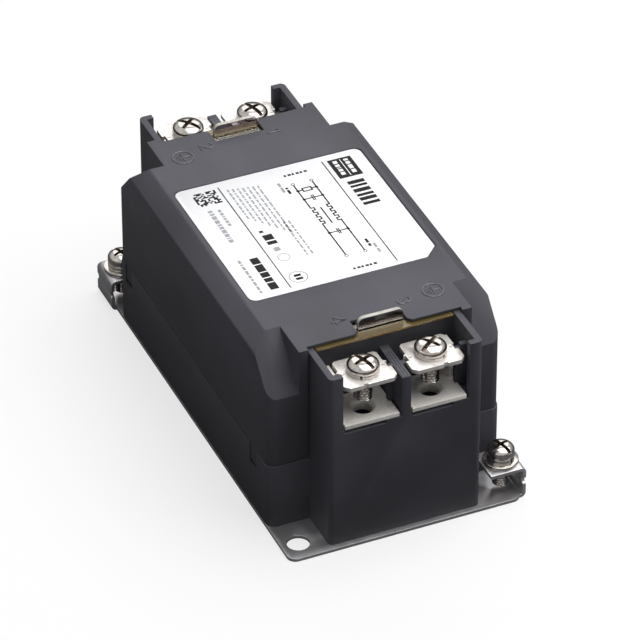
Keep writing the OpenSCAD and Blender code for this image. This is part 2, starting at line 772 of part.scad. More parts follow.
// Four disc capacitors to earth, each on its two leads.
module earth_capacitors() {
    lead = 2;
    lead_pitch = 5;
    color("steelblue") for (x = [-1, 1], y = [-1, 1])
        translate([x * (board_w / 2 - 3.4), y * (board_l / 2 - 12), board_top]) {
            translate([-y_cap_t / 2, 0, lead + y_cap_d / 2]) rotate([0, 90, 0])
                cylinder(d = y_cap_d, h = y_cap_t);
            for (s = [-1, 1]) translate([0, s * lead_pitch / 2, 0])
                cylinder(d = lead_d, h = lead + y_cap_d / 4);
        }
}

// Resistor lying over the board on its two bent leads.
module discharge_resistor() {
    lift = resistor_d / 2 + 1;
    lead_x = resistor_l / 2 + 1.5;
    color("beige") translate([0, board_l / 2 - 1, board_top]) {
        translate([-resistor_l / 2, 0, lift]) rotate([0, 90, 0])
            cylinder(d = resistor_d, h = resistor_l);
        translate([-lead_x, 0, lift]) rotate([0, 90, 0]) cylinder(d = lead_d, h = 2 * lead_x);
        for (x = [-lead_x, lead_x]) translate([x, 0, 0]) cylinder(d = lead_d, h = lift);
    }
}

// Metal strap from the base plate, through the floor, to the circuit board.
module earth_strap() {
    color("silver") {
        span([strap_x, -strap_t, plate_t], [strap_x + strap_w, 0, board_z]);
    }
}

base_plate();
case_base();
top_cover();
rating_label();
clear_cover();  // front_clear_cover
rotate([0, 0, 180]) clear_cover();  // rear_clear_cover
for (i = [1:4]) {
    at_terminal(i) terminal_plate();
    at_terminal(i) clamp_washer();
    at_terminal(i) spring_washer();
    at_terminal(i) terminal_screw(i);
}
ground_screws();
ground_spring_washers();
ground_flat_washers();
circuit_board();
board_screws();
choke_base();
choke_core();
line_winding();
neutral_winding();
x_capacitor(-x_cap_y);  // input_x_capacitor
x_capacitor(x_cap_y);  // output_x_capacitor
earth_capacitors();
discharge_resistor();
earth_strap();
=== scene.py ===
"""EMI line filter, dressed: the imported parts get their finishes, softened edges, turned
screws with real threads, moulded marks and a printed label. Lengths in mm are turned to
metres by MM."""

import math

import bmesh
import bpy
import numpy as np
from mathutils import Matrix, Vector


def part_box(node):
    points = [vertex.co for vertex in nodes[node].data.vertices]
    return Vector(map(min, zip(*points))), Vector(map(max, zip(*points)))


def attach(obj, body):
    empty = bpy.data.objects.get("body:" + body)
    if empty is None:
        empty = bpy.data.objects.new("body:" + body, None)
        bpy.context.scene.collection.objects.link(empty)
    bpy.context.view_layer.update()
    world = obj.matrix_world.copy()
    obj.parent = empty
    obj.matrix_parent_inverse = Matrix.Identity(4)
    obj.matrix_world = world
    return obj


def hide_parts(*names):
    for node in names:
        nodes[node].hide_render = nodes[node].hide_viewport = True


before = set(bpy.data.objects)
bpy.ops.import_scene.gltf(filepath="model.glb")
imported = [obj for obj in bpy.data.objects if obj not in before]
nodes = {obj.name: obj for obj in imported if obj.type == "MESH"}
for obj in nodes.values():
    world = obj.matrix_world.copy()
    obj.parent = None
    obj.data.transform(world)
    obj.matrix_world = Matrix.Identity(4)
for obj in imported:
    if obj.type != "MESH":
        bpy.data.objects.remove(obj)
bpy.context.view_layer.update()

MM = 0.001
CASE = "filter_case"
TERMINALS = (1, 2, 3, 4)


def node_box(node):
    """Lowest and highest corner of a CAD node in mm, as arrays."""
    low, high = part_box(node)
    return np.array(low) / MM, np.array(high) / MM


# ---------------------------------------------------------------- colour and materials


def srgb(hex_code, alpha=1.0):
    """Linear colour of an sRGB hex value."""
    channels = np.array([int(hex_code[i : i + 2], 16) for i in (1, 3, 5)]) / 255
    low, high = channels / 12.92, ((channels + 0.055) / 1.055) ** 2.4
    return (*np.where(channels <= 0.04045, low, high).tolist(), alpha)


def add(tree, kind, values=None, links=None, **settings):
    """Adds a shader node: values set its inputs, links feed them, settings are its own."""
    new = tree.nodes.new(kind)
    for name, value in settings.items():
        setattr(new, name, value)
    for socket, value in (values or {}).items():
        new.inputs[socket].default_value = value
    for socket, source in (links or {}).items():
        tree.links.new(source, new.inputs[socket])
    return new


def finish(name, **sockets):
    """A material with one Principled shader, and its tree, shader and object place."""
    material = bpy.data.materials.new(name)
    material.use_nodes = True
    tree = material.node_tree
    shader = tree.nodes["Principled BSDF"]
    for socket, value in sockets.items():
        shader.inputs[socket.replace("_", " ")].default_value = value
    place = add(tree, "ShaderNodeTexCoord").outputs["Object"]
    return material, tree, shader, place


def grain(tree, place, size_mm, detail=3.0, stretch=(1, 1, 1)):
    """Noise whose grains are about size_mm across, stretched along an axis if asked."""
    mapped = add(tree, "ShaderNodeMapping", {"Scale": stretch}, {"Vector": place})
    return add(
        tree,
        "ShaderNodeTexNoise",
        {"Scale": 1 / (size_mm * MM), "Detail": detail, "Roughness": 0.55},
        {"Vector": mapped.outputs["Vector"]},
    ).outputs["Fac"]


def spread(tree, source, low, high):
    """Maps a noise pattern, which lies mostly in 0.3 to 0.7, on to low to high."""
    return add(
        tree,
        "ShaderNodeMapRange",
        {"From Min": 0.3, "From Max": 0.7, "To Min": low, "To Max": high},
        {"Value": source},
    ).outputs["Result"]


def blend_colours(tree, factor, dark, light):
    """A colour between two sRGB hex values."""
    mix = add(tree, "ShaderNodeMix", {"A": srgb(dark), "B": srgb(light)}, data_type="RGBA")
    tree.links.new(factor, mix.inputs["Factor"])
    return mix.outputs["Result"]


def relief(tree, shader, height, depth_mm, strength=1.0):
    """Bump of depth_mm from a 0 to 1 height."""
    bump = add(
        tree,
        "ShaderNodeBump",
        {"Distance": depth_mm * MM, "Strength": strength},
        {"Height": height},
    )
    tree.links.new(bump.outputs["Normal"], shader.inputs["Normal"])


def tint(tree, shader, pattern, dark, light):
    """Colours a shader between two sRGB hex values by a pattern."""
    colour = blend_colours(tree, spread(tree, pattern, 0, 1), dark, light)
    tree.links.new(colour, shader.inputs["Base Color"])


def roughen(tree, shader, pattern, low, high):
    """Roughness from low to high by a pattern."""
    tree.links.new(spread(tree, pattern, low, high), shader.inputs["Roughness"])


def moulded_case_plastic(name, smooth, coarse, specular):
    """Glass-filled PBT from a spark-eroded mould: a fine even grain that turns gloss to
    a soft sheen, with faint flow shading."""
    sockets = {"Roughness": coarse, "Specular_IOR_Level": specular}
    material, tree, shader, place = finish(name, **sockets)
    fine = grain(tree, place, size_mm=0.35)
    flow = grain(tree, place, size_mm=14, detail=1.5, stretch=(1, 0.5, 1))
    tint(tree, shader, flow, "#45454b", "#4e4e55")
    roughen(tree, shader, fine, smooth, coarse)
    relief(tree, shader, fine, depth_mm=0.02, strength=0.6)
    return material


def plated_sheet(name, dark, light, rough, metal):
    """Plated sheet metal: rolling lines along its length under a thin clear-passivated
    plating, which scatters a little light."""
    material, tree, shader, place = finish(name, Metallic=metal, Roughness=rough)
    rolled = grain(tree, place, size_mm=1.6, detail=4, stretch=(1, 0.15, 1))
    tint(tree, shader, grain(tree, place, size_mm=6, detail=2), dark, light)
    roughen(tree, shader, rolled, rough * 0.8, rough * 1.3)
    relief(tree, shader, rolled, depth_mm=0.004, strength=0.5)
    return material


def tumbled_metal(name, dark, light, rough, pit_mm=0.5, depth_mm=0.006, metal=1.0):
    """Small plated metal part, tumbled before plating: an even fine orange peel. A blasted
    part scatters light as well, so its metal share is lower."""
    material, tree, shader, place = finish(name, Metallic=metal, Roughness=rough)
    pits = grain(tree, place, pit_mm)
    tint(tree, shader, pits, dark, light)
    roughen(tree, shader, pits, rough * 0.75, rough * 1.3)
    relief(tree, shader, pits, depth_mm, strength=0.5)
    return material


def clear_plastic(name, dark, light, clarity=1.0, rough=0.03, haze=(9, 1)):
    """Polycarbonate that is see-through by its clarity, with faint haze or streaks. haze
    holds the size_mm, detail and stretch of their grain."""
    sockets = {"Transmission_Weight": clarity, "IOR": 1.58, "Roughness": rough}
    material, tree, shader, place = finish(name, **sockets)
    tint(tree, shader, grain(tree, place, *haze), dark, light)
    return material


def label_film():
    """White polyester film: smooth, faintly uneven where it is stuck down."""
    material, tree, shader, place = finish("label_film", Roughness=0.42, IOR=1.5)
    cloud = grain(tree, place, size_mm=9, detail=2)
    tint(tree, shader, cloud, "#f5f5f8", "#fbfbfd")
    relief(tree, shader, cloud, depth_mm=0.01, strength=0.3)
    return material


def printing_ink(name, dark, light):
    """Screen ink on the film, with slightly uneven cover."""
    material, tree, shader, place = finish(name, Roughness=0.6, Specular_IOR_Level=0.2)
    tint(tree, shader, grain(tree, place, size_mm=0.5), dark, light)
    return material


def mottled(name, dark, light, rough, size_mm=2.0, depth_mm=0.02):
    """Plain coated or moulded surface with a slight mottle, for the pieces inside."""
    material, tree, shader, place = finish(name, Roughness=rough)
    cloud = grain(tree, place, size_mm)
    tint(tree, shader, cloud, dark, light)
    relief(tree, shader, cloud, depth_mm, strength=0.4)
    return material


def banded_resistor(pitch_mm=1.6, plain_share=0.68):
    """Lacquered resistor body with a dark band round it every pitch_mm along X."""
    material, tree, shader, place = finish("lacquered_resistor", Roughness=0.35)
    x = add(tree, "ShaderNodeSeparateXYZ", links={"Vector": place}).outputs["X"]
    value = x
    for operation, number in (
        ("MULTIPLY", {1: 1 / (pitch_mm * MM)}),
        ("FRACT", {}),
        ("GREATER_THAN", {1: plain_share}),
    ):
        value = add(tree, "ShaderNodeMath", number, {0: value}, operation=operation).outputs[0]
    colour = blend_colours(tree, value, "#c9b183", "#6b3a1c")
    tree.links.new(colour, shader.inputs["Base Color"])
    return material


PLASTIC = moulded_case_plastic("moulded_pbt", smooth=0.48, coarse=0.62, specular=0.25)
# marks are cut into the mould after its texture, so they stand out with more gloss
MARK_PLASTIC = moulded_case_plastic("moulded_pbt_marks", smooth=0.24, coarse=0.32, specular=0.6)
ZINC = plated_sheet("zinc_plated_steel", "#acaaac", "#c3c1c3", rough=0.34, metal=0.7)
SATIN_NICKEL = tumbled_metal(
    "satin_nickel", "#e2ddd6", "#f5f1eb", rough=0.42, pit_mm=0.6, depth_mm=0.012, metal=0.15
)
WASHER_NICKEL = tumbled_metal(
    "washer_nickel", "#dad4cf", "#ebe6e1", rough=0.36, pit_mm=0.9, depth_mm=0.008, metal=0.45
)
SCREW_NICKEL = tumbled_metal(
    "screw_nickel", "#a39d97", "#c9c4be", rough=0.13, pit_mm=0.85, depth_mm=0.004
)
# painted shade: the slots of the screw heads are darker than the plating round them
SLOT_SHADE_NICKEL = tumbled_metal("slot_painted_shade_nickel", "#6e655e", "#8b8179", rough=0.35, pit_mm=0.6)
SPRING_STEEL = tumbled_metal("spring_steel", "#b4afaa", "#cec9c4", rough=0.22, pit_mm=0.7)
# painted shade: the dark patch that stands for the shaded punched dashes on the clamp washers
SHADOW_NICKEL = tumbled_metal("dash_painted_shade_nickel", "#4c4642", "#6a625c", rough=0.5)
CLEAR = clear_plastic("clear_polycarbonate", "#efe8d6", "#f7f2e6")
# close to its front edge the sheet takes a painted amber glow, and the thick tab a painted shade
# for the dark seen through it
CLEAR_PAINTED_GLOW = clear_plastic("polycarbonate_painted_glow", "#7d6c3c", "#96824a", clarity=0.6, rough=0.2)
CLEAR_PAINTED_SHADE = clear_plastic("polycarbonate_painted_shade", "#918992", "#aaa2a9")
# the sawn edge gathers light along the sheet: its amber is a painted glow
CLEAR_EDGE_GLOW = clear_plastic(
    "polycarbonate_edge_glow", "#7a653a", "#b9924e", clarity=0.3, rough=0.25, haze=(2.5, 3, (1, 4, 4))
)
# the polished outer edge of the moulded tab is pale with a painted highlight
CLEAR_PAINTED_HIGHLIGHT = clear_plastic(
    "polycarbonate_painted_highlight", "#b9b3a8", "#e9e5dd", clarity=0.35, rough=0.12, haze=(3, 2)
)
FILM = label_film()
INK = printing_ink("black_ink", "#08080a", "#0f0f12")
PALE_INK = printing_ink("grey_ink", "#8f9094", "#b0b1b4")
WHITE_INK = printing_ink("white_ink", "#e6e6e8", "#f2f2f3")

# dark and light colour, roughness, and the size and depth of the mottle
ENAMEL = ("#8a4a1e", "#b0642a", 0.25, 0.8, 0.01)
FILM_BOX = ("#c79a1c", "#d9ad2c", 0.4)
INSIDE = {
    "circuit_board": mottled("solder_resist", "#1c4a2c", "#225a36", rough=0.35, size_mm=3),
    "choke_base": mottled("phenolic", "#c4b48a", "#d2c49c", rough=0.55),
    "choke_core": mottled("epoxy_coat", "#2c5a3a", "#37704a", 0.4, size_mm=1.5, depth_mm=0.05),
    "line_winding": mottled("wire_enamel", *ENAMEL),
    "neutral_winding": mottled("wire_enamel_neutral", *ENAMEL),
    "input_x_capacitor": mottled("film_box", *FILM_BOX),
    "output_x_capacitor": mottled("film_box_output", *FILM_BOX),
    "earth_capacitors": mottled("dipped_ceramic", "#1c4f8c", "#2a63a6", 0.35, 1.2, 0.05),
    "discharge_resistor": banded_resistor(),
}

# ---------------------------------------------------------------- meshes

WELD_MM = 0.002  # points of a CAD mesh closer than this are one
FLAT_DEG = 0.5  # faces that meet at less than this are one
CORNER_DEG = 32  # edges sharper than this are rounded


def closed_rings(rings, start, end):
    """Points and faces of a closed skin: rings is an (n, m, 3) grid that closes on itself
    along m, and the points start and end shut its two ends."""
    count, around = rings.shape[:2]
    points = np.concatenate([[start], rings.reshape(-1, 3), [end]])
    here = np.arange(around)
    ahead = (here + 1) % around
    base = 1 + np.arange(count - 1)[:, None] * around
    quads = [base + here, base + around + here, base + around + ahead, base + ahead]
    last = 1 + (count - 1) * around
    first_fan = [np.zeros(around, int), 1 + here, 1 + ahead]
    last_fan = [np.full(around, last + around), last + ahead, last + here]
    faces = np.stack(quads, -1).reshape(-1, 4).tolist()
    faces += np.stack(first_fan, -1).tolist() + np.stack(last_fan, -1).tolist()
    return points, faces


def piece(name, skins, body, material, sharp_deg=40):
    """One object from skins given in mm, with outward normals, riding on a body."""
    points, faces, start = [], [], 0
    for skin_points, skin_faces in skins:
        points.append(skin_points)
        faces += [[i + start for i in face] for face in skin_faces]
        start += len(skin_points)
    mesh = bpy.data.meshes.new(name)
    mesh.from_pydata((np.concatenate(points) * MM).tolist(), [], faces)
    work = bmesh.new()
    work.from_mesh(mesh)
    bmesh.ops.recalc_face_normals(work, faces=work.faces)
    work.to_mesh(mesh)
    work.free()
    mesh.shade_smooth()
    mesh.set_sharp_from_angle(angle=math.radians(sharp_deg))
    mesh.materials.append(material)
    return place_piece(name, mesh, body)


def link_up(name, data):
    """A new object in the scene that holds data."""
    new = bpy.data.objects.new(name, data)
    bpy.context.scene.collection.objects.link(new)
    return new


def place_piece(name, mesh, body):
    """Links a mesh as a piece that rides on a body."""
    new = link_up(name, mesh)
    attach(new, body)
    return new


def softened(node, body, material, width_mm, segments=2):
    """A copy of a CAD node with its sharp edges rounded by width_mm, standing for it."""
    mesh = nodes[node].data.copy()
    work = bmesh.new()
    work.from_mesh(mesh)
    bmesh.ops.remove_doubles(work, verts=work.verts, dist=WELD_MM * MM)
    bmesh.ops.dissolve_limit(
        work, angle_limit=math.radians(FLAT_DEG), verts=work.verts, edges=work.edges
    )
    work.to_mesh(mesh)
    work.free()
    mesh.materials.clear()
    mesh.materials.append(material)
    mesh.shade_smooth()
    new = place_piece(node + "_finished", mesh, body)
    edges = new.modifiers.new("edges", "BEVEL")
    edges.width = width_mm * MM
    edges.segments = segments
    edges.limit_method = "ANGLE"
    edges.angle_limit = math.radians(CORNER_DEG)
    edges.harden_normals = True
    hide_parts(node)
    return new


def dress(node, material):
    """Gives a CAD node, as it is, its material."""
    for place in nodes[node].material_slots:
        place.material = material


# ---------------------------------------------------------------- screws


def smooth_step(value):
    """0 below 0, 1 above 1, and a smooth rise between."""
    t = np.clip(value, 0, 1)
    return t * t * (3 - 2 * t)


def head_profile(radius, height, rim_share):
    """Radius and height of the dome of a pan head from its middle out: as t goes from the
    pole to the edge they are radius sin(t)^0.74 and, above the rim, a share cos(t)^0.95."""
    pole, steps = 0.03, 52
    t = np.linspace(pole, math.pi / 2, steps)
    rim = rim_share * height
    return radius * np.sin(t) ** 0.74, rim + (height - rim) * np.cos(t).clip(0) ** 0.95


def screw_head(radius, height, rim_share, slot_turn, columns=240):
    """Pan head: a dome on an upright rim that drops to the floor of a slot right across,
    or of the deeper cross whose arms rise away from the middle. The slot's floor is flat
    at a share of the height, an arm's is low + rise reach^1.6 of it."""
    wall, slot_half, arm = 0.02 * radius, 0.135 * radius, 0.62 * radius
    slot_floor, cross_low, cross_rise = 0.58, 0.16, 0.62
    r, dome = (line[:, None] for line in head_profile(radius, height, rim_share))
    angle = np.linspace(0, 2 * math.pi, columns, endpoint=False)[None, :]
    along = r * np.cos(angle - slot_turn)
    across = r * np.sin(angle - slot_turn)
    cut = smooth_step((slot_half - np.abs(across)) / wall)
    dome = dome + 0 * angle
    top = dome * (1 - cut) + np.minimum(dome, height * slot_floor) * cut
    for run, side in ((along, across), (across, along)):
        reach = np.abs(run) / arm
        half = slot_half * (1.05 - 0.3 * reach)
        cut = smooth_step((half - np.abs(side)) / wall) * (reach < 1)
        floor = np.minimum(height * (cross_low + cross_rise * reach**1.6), dome)
        top = np.where(cut > 0, np.minimum(top, dome * (1 - cut) + floor * cut), top)
    rings = np.stack([r * np.cos(angle), r * np.sin(angle), top], -1)
    foot_r = np.array([1.0, 0.985, 0.955])[:, None] * radius
    foot_z = np.array([0.05, 0.015, 0.0])[:, None] * height + 0 * angle
    foot = np.stack([foot_r * np.cos(angle), foot_r * np.sin(angle), foot_z], -1)
    return closed_rings(np.concatenate([rings, foot]), [0, 0, height * cross_low], [0, 0, 0])


def threaded_shank(radius, length, pitch, columns=72, steps_per_turn=12):
    """Shank with a helical thread: the radius is the crest less a clipped triangle wave of
    height / pitch + angle, faded in below the plain neck and cut to a cone at the tip."""
    neck, in_head, crest_gap = 0.5, 0.3, 0.04
    tip_share, tip_slope = 0.72, 1.2
    steepness, clipped = 1.3, 0.15
    count = int(length / pitch * steps_per_turn) + 1
    z = np.linspace(in_head, -length, count)[:, None]
    angle = np.linspace(0, 2 * math.pi, columns, endpoint=False)[None, :]
    phase = (z / pitch + angle / (2 * math.pi)) % 1
    groove = np.clip((1 - np.abs(2 * phase - 1)) * steepness - clipped, 0, 1)
    fade = smooth_step((-z - neck) / neck)
    r = radius - 0.5 * pitch * groove * fade - crest_gap
    r = np.minimum(r, tip_share * radius + (z + length) * tip_slope)
    rings = np.stack([r * np.cos(angle), r * np.sin(angle), z + 0 * angle], -1)
    return closed_rings(rings, [0, 0, in_head], [0, 0, -length])


def turned_screws(spots, head, shank, pitch, turns):
    """Skins of one or more screws. A spot is the axis and the height under the head; head
    is its radius, height and rim share, shank its radius and length."""
    skins = []
    for spot, turn in zip(spots, turns):
        skins += [
            (points + np.array(spot), faces)
            for points, faces in (
                screw_head(*head, math.radians(turn)),
                threaded_shank(*shank, pitch),
            )
        ]
    return skins


def paint_shade_in_slots(new, spots, head, edge_share=0.97, foot_share=0.1, deep_mm=0.1):
    """Gives the slots painted shade, a darker metal: faces deep_mm under the dome of a head, and
    within its edge and above its foot."""
    profile_r, profile_z = head_profile(*head)
    centres = np.empty(len(new.data.polygons) * 3)
    new.data.polygons.foreach_get("center", centres)
    shaded = np.zeros(len(new.data.polygons), int)
    for spot in spots:
        x, y, z = (centres.reshape(-1, 3) / MM - np.array(spot)).T
        r = np.hypot(x, y)
        under = np.interp(r, profile_r, profile_z) - z
        on_head = (r < edge_share * head[0]) & (z > foot_share * head[1])
        shaded |= on_head & (under > deep_mm)
    # the faces in the slots take the darker metal of the painted shade
    new.data.materials.append(SLOT_SHADE_NICKEL)
    new.data.polygons.foreach_set("material_index", shaded)


def screw_spot(low, high, head_height):
    """Axis and underside of the head of a screw in the box low to high."""
    middle = (low + high) / 2
    return middle[0], middle[1], high[2] - head_height


TERMINAL_HEAD = (3.5, 2.0, 0.25)
TERMINAL_SHANK = (2.0, 8.0)
TERMINAL_PITCH = 0.7
GROUND_HEAD = (3.0, 2.6, 0.42)
GROUND_SHANK = (1.75, 8.0)
GROUND_PITCH = 0.6
# turns of the slots, in degrees
SLOT_TURNS = {1: 110, 2: 35, 3: 108, 4: 128}
GROUND_TURNS = [108, 108]

for i in TERMINALS:
    spot = screw_spot(*node_box(f"terminal_screw_{i}"), TERMINAL_HEAD[1])
    skins = turned_screws(
        [spot], TERMINAL_HEAD, TERMINAL_SHANK, TERMINAL_PITCH, [SLOT_TURNS[i]]
    )
    new = piece(f"terminal_screw_{i}_turned", skins, f"screw_{i}", SCREW_NICKEL)
    paint_shade_in_slots(new, [spot], TERMINAL_HEAD)
    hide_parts(f"terminal_screw_{i}")

low, high = node_box("ground_screws")
reach = GROUND_HEAD[0]
ground_z = high[2] - GROUND_HEAD[1]
ground_spots = [
    (high[0] - reach, low[1] + reach, ground_z),
    (low[0] + reach, high[1] - reach, ground_z),
]
skins = turned_screws(ground_spots, GROUND_HEAD, GROUND_SHANK, GROUND_PITCH, GROUND_TURNS)
new = piece("ground_screws_turned", skins, CASE, SCREW_NICKEL)
paint_shade_in_slots(new, ground_spots, GROUND_HEAD)
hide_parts("ground_screws")

# ---------------------------------------------------------------- plated and moulded parts

softened("base_plate", CASE, ZINC, width_mm=0.12)
softened("case_base", CASE, PLASTIC, width_mm=0.18)
softened("top_cover", CASE, PLASTIC, width_mm=0.22)
softened("rating_label", CASE, FILM, width_mm=0.02, segments=1)
softened("ground_spring_washers", CASE, SPRING_STEEL, width_mm=0.08)
softened("ground_flat_washers", CASE, SCREW_NICKEL, width_mm=0.1)
for i in TERMINALS:
    softened(f"terminal_plate_{i}", CASE, SATIN_NICKEL, width_mm=0.1)
    softened(f"clamp_washer_{i}", f"clamp_{i}", WASHER_NICKEL, 0.16)
    softened(f"spring_washer_{i}", f"clamp_{i}", SPRING_STEEL, 0.08)
for node, material in INSIDE.items():
    dress(node, material)
dress("board_screws", SCREW_NICKEL)
dress("earth_strap", ZINC)

# lines of the clear cover, in mm from its outer edge and from the top of its tab
COVER_RIM, COVER_TAB_BACK, COVER_TAB_HEIGHT = 1.0, 2.4, 2.4
LINE_SLACK = 0.01  # a face that ends on a line counts as past it
# slots of the painted amber glow on the sawn edge, the painted highlight on the tab's edge, the
# painted warm glow of the strip and the painted shade of the tab
EDGE_GLOW_SLOT, HIGHLIGHT_SLOT, GLOW_SLOT, SHADE_SLOT = 1, 2, 3, 4


def clear_cover(end, body):
    """Clear sheet with its finger tab. The mesh is cut along three lines, so that the sawn edge
    takes a painted amber glow, the strip up to the tab a painted warm glow, and the tab's faces a
    painted shade within a painted highlight on its edge."""
    node = f"{end}_clear_cover"
    new = softened(node, body, CLEAR, width_mm=0.12)
    for material in (CLEAR_EDGE_GLOW, CLEAR_PAINTED_HIGHLIGHT, CLEAR_PAINTED_GLOW, CLEAR_PAINTED_SHADE):
        new.data.materials.append(material)
    outward = -1 if end == "front" else 1
    low, high = node_box(node)
    edge = max(outward * low[1], outward * high[1])
    tab_foot = high[2] - COVER_TAB_HEIGHT
    lines = [((0, outward * (edge - back), 0), (0, 1, 0)) for back in (COVER_RIM, COVER_TAB_BACK)]
    lines.append(((0, 0, tab_foot), (0, 0, 1)))
    work = bmesh.new()
    work.from_mesh(new.data)
    for spot, normal in lines:
        everything = work.verts[:] + work.edges[:] + work.faces[:]
        line = tuple(v * MM for v in spot)
        bmesh.ops.bisect_plane(work, geom=everything, plane_co=line, plane_no=normal, dist=1e-7)
    for face in work.faces:
        middle = face.calc_center_median() / MM
        back = edge - middle.y * outward
        endways = abs(face.normal.y) > 0.5
        # painted light: amber glow on the sawn edge and on the strip up to the tab, shade on the
        # tab's end faces, highlight on its edge
        if back < COVER_RIM and endways:
            face.material_index = EDGE_GLOW_SLOT
        elif middle.z > tab_foot:
            face.material_index = SHADE_SLOT if endways else HIGHLIGHT_SLOT
        elif back < COVER_TAB_BACK - LINE_SLACK:
            face.material_index = GLOW_SLOT
    work.to_mesh(new.data)
    work.free()
    new.data.shade_flat()
    new.modifiers["edges"].harden_normals = False


clear_cover("front", "front_cover_slider")
clear_cover("rear", "rear_cover_slider")

# ---------------------------------------------------------------- moulded marks


def bead(points, width, height):
    """Raised line: a half-round section of width and height carried along points in the
    plane of a face, with both ends rounded down by a last narrow section."""
    end_run, end_size, sunk = width / 3, 0.45, 0.02
    route = np.array(points, float)
    step = np.gradient(route, axis=0)
    step /= np.linalg.norm(step, axis=1, keepdims=True)
    side = np.stack([-step[:, 1], step[:, 0]], -1)
    ends = [route[0] - step[0] * end_run], [route[-1] + step[-1] * end_run]
    route = np.concatenate([ends[0], route, ends[1]])
    side = np.concatenate([side[:1], side, side[-1:]])
    size = np.ones((len(route), 1))
    size[[0, -1]] = end_size
    turn = np.linspace(0, math.pi, 6)
    out = (np.cos(turn) * width / 2 * size)[..., None]
    rise = np.sin(turn) * height * size - sunk
    rings = np.concatenate([route[:, None] + side[:, None] * out, rise[..., None]], -1)
    return closed_rings(rings, rings[0].mean(0), rings[-1].mean(0))


def arc_points(cx, cy, rx, ry, a0, a1, count=12):
    """Points on part of an ellipse, angles in degrees."""
    t = np.radians(np.linspace(a0, a1, count))
    return np.stack([cx + rx * np.cos(t), cy + ry * np.sin(t)], -1)


def line_points(*corners):
    """Straight runs between corners."""
    return np.array(corners, float)


# strokes of the digits in a square of side 1
DIGITS = {
    1: [line_points((0.25, 0.78), (0.5, 1), (0.5, 0.5), (0.5, 0))],
    2: [np.concatenate([arc_points(0.5, 0.72, 0.3, 0.28, 170, -35), [[0.2, 0], [0.82, 0]]])],
    3: [
        arc_points(0.46, 0.75, 0.28, 0.25, 150, -90),
        arc_points(0.46, 0.26, 0.32, 0.26, 90, -150),
    ],
    4: [line_points((0.66, 0), (0.66, 0.5), (0.66, 1), (0.12, 0.3), (0.5, 0.3), (0.92, 0.3))],
}


def earth_mark():
    """Ring with the earth symbol in it: a stem on three bars that grow shorter."""
    bar_halves, bar_gap = (0.55, 0.36, 0.17), 0.24
    strokes = [arc_points(0, 0, 1, 1, 0, 358, 40), line_points((0, 0.7), (0, 0.3), (0, 0))]
    for i, half in enumerate(bar_halves):
        y = -bar_gap * i
        strokes.append(line_points((-half, y), (0, y), (half, y)))
    return strokes


def on_top(strokes, x, y, size, turn_deg):
    """Strokes scaled by size, turned and moved to x, y."""
    c, s = math.cos(math.radians(turn_deg)), math.sin(math.radians(turn_deg))
    turn = np.array([[c, s], [-s, c]])
    return [stroke * size @ turn + np.array([x, y]) for stroke in strokes]


DIGIT_PLACES = {4: (-7.9, -35.0), 3: (7.7, -34.3), 2: (-8.4, 35.2), 1: (7.4, 34.5)}
DIGIT_SIZE, EARTH_RADIUS = 3.0, 2.3
EARTH_X, EARTH_Y = -14.8, 33.3
MARK_TURN = -90
MARK_LINE = (0.5, 0.22)  # width and height
# ribs along the top of each bay divider
RIB_X = (-0.62, 0.0, 0.62)
RIB_ENDS = (43.4, 52.4)
RIB_LINE = (0.4, 0.14)
DIVIDER_TOP = 40.3

cover_top = node_box("top_cover")[1][2]
strokes = []
for digit, (x, y) in DIGIT_PLACES.items():
    centred = [stroke - 0.5 for stroke in DIGITS[digit]]
    strokes += on_top(centred, x, y, DIGIT_SIZE, MARK_TURN)
for side in (-1, 1):
    strokes += on_top(earth_mark(), EARTH_X * side, EARTH_Y * side, EARTH_RADIUS, MARK_TURN)
marks = [(stroke, MARK_LINE, cover_top) for stroke in strokes]
for side in (-1, 1):
    for x in RIB_X:
        line = line_points(*((x, side * y) for y in np.linspace(*RIB_ENDS, 4)))
        marks.append((line, RIB_LINE, DIVIDER_TOP))
skins = []
for stroke, (width, height), ground in marks:
    points, faces = bead(stroke, width, height)
    skins.append((points + np.array([0, 0, ground]), faces))
piece("moulded_marks", skins, CASE, MARK_PLASTIC, sharp_deg=60)

# ---------------------------------------------------------------- label print

print_z = node_box("rating_label")[1][2]
INK_T = 0.02
WORD_GAP = 0.35


def patch(x0, y0, x1, y1, lift=INK_T, ground=print_z):
    """Thin plate over a rectangle, as one closed skin: a ring above and one below the
    ground that it lies on."""
    corners = np.array([[x0, y0], [x1, y0], [x1, y1], [x0, y1]], float)
    top, under = ground + lift, ground - INK_T / 2
    ring = [np.column_stack([corners, np.full(4, z)]) for z in (top, under)]
    middle = corners.mean(0)
    return closed_rings(np.array(ring), [*middle, top], [*middle, under])


def text_bars(x, y_start, y_end, height, words, seed, lift=INK_T):
    """A line of print as plain bars: words blocks whose lengths vary with the seed."""
    share = 0.6 + 0.8 * np.abs(np.sin(seed * 1.7 + np.arange(words) * 2.3))
    share = share / share.sum()
    edges = y_start + (y_end - y_start) * np.concatenate([[0], np.cumsum(share)])
    gap = WORD_GAP * np.sign(y_end - y_start)
    spans = [sorted((a, b - gap)) for a, b in zip(edges[:-1], edges[1:])]
    return [patch(x - height / 2, low, x + height / 2, high, lift) for low, high in spans]


def ring_patch(x, y, radius, width, count=28):
    """Thin printed ring: a four-sided section carried round a circle."""
    t = np.linspace(0, 2 * math.pi, count, endpoint=False)
    outer, inner = (
        np.stack([x + r * np.cos(t), y + r * np.sin(t)], -1) for r in (radius, radius - width)
    )
    top, under = print_z + INK_T, print_z - INK_T / 2
    section = [(outer, under), (outer, top), (inner, top), (inner, under)]
    grid = np.array([np.column_stack([flat, np.full(count, z)]) for flat, z in section])
    points = grid.transpose(1, 0, 2).reshape(-1, 3)
    here = np.arange(count)[:, None] * 4
    ahead = (np.arange(count)[:, None] + 1) % count * 4
    corner = np.arange(4)[None, :]
    following = (corner + 1) % 4
    faces = np.stack([here + corner, ahead + corner, ahead + following, here + following], -1)
    return points, faces.reshape(-1, 4).tolist()


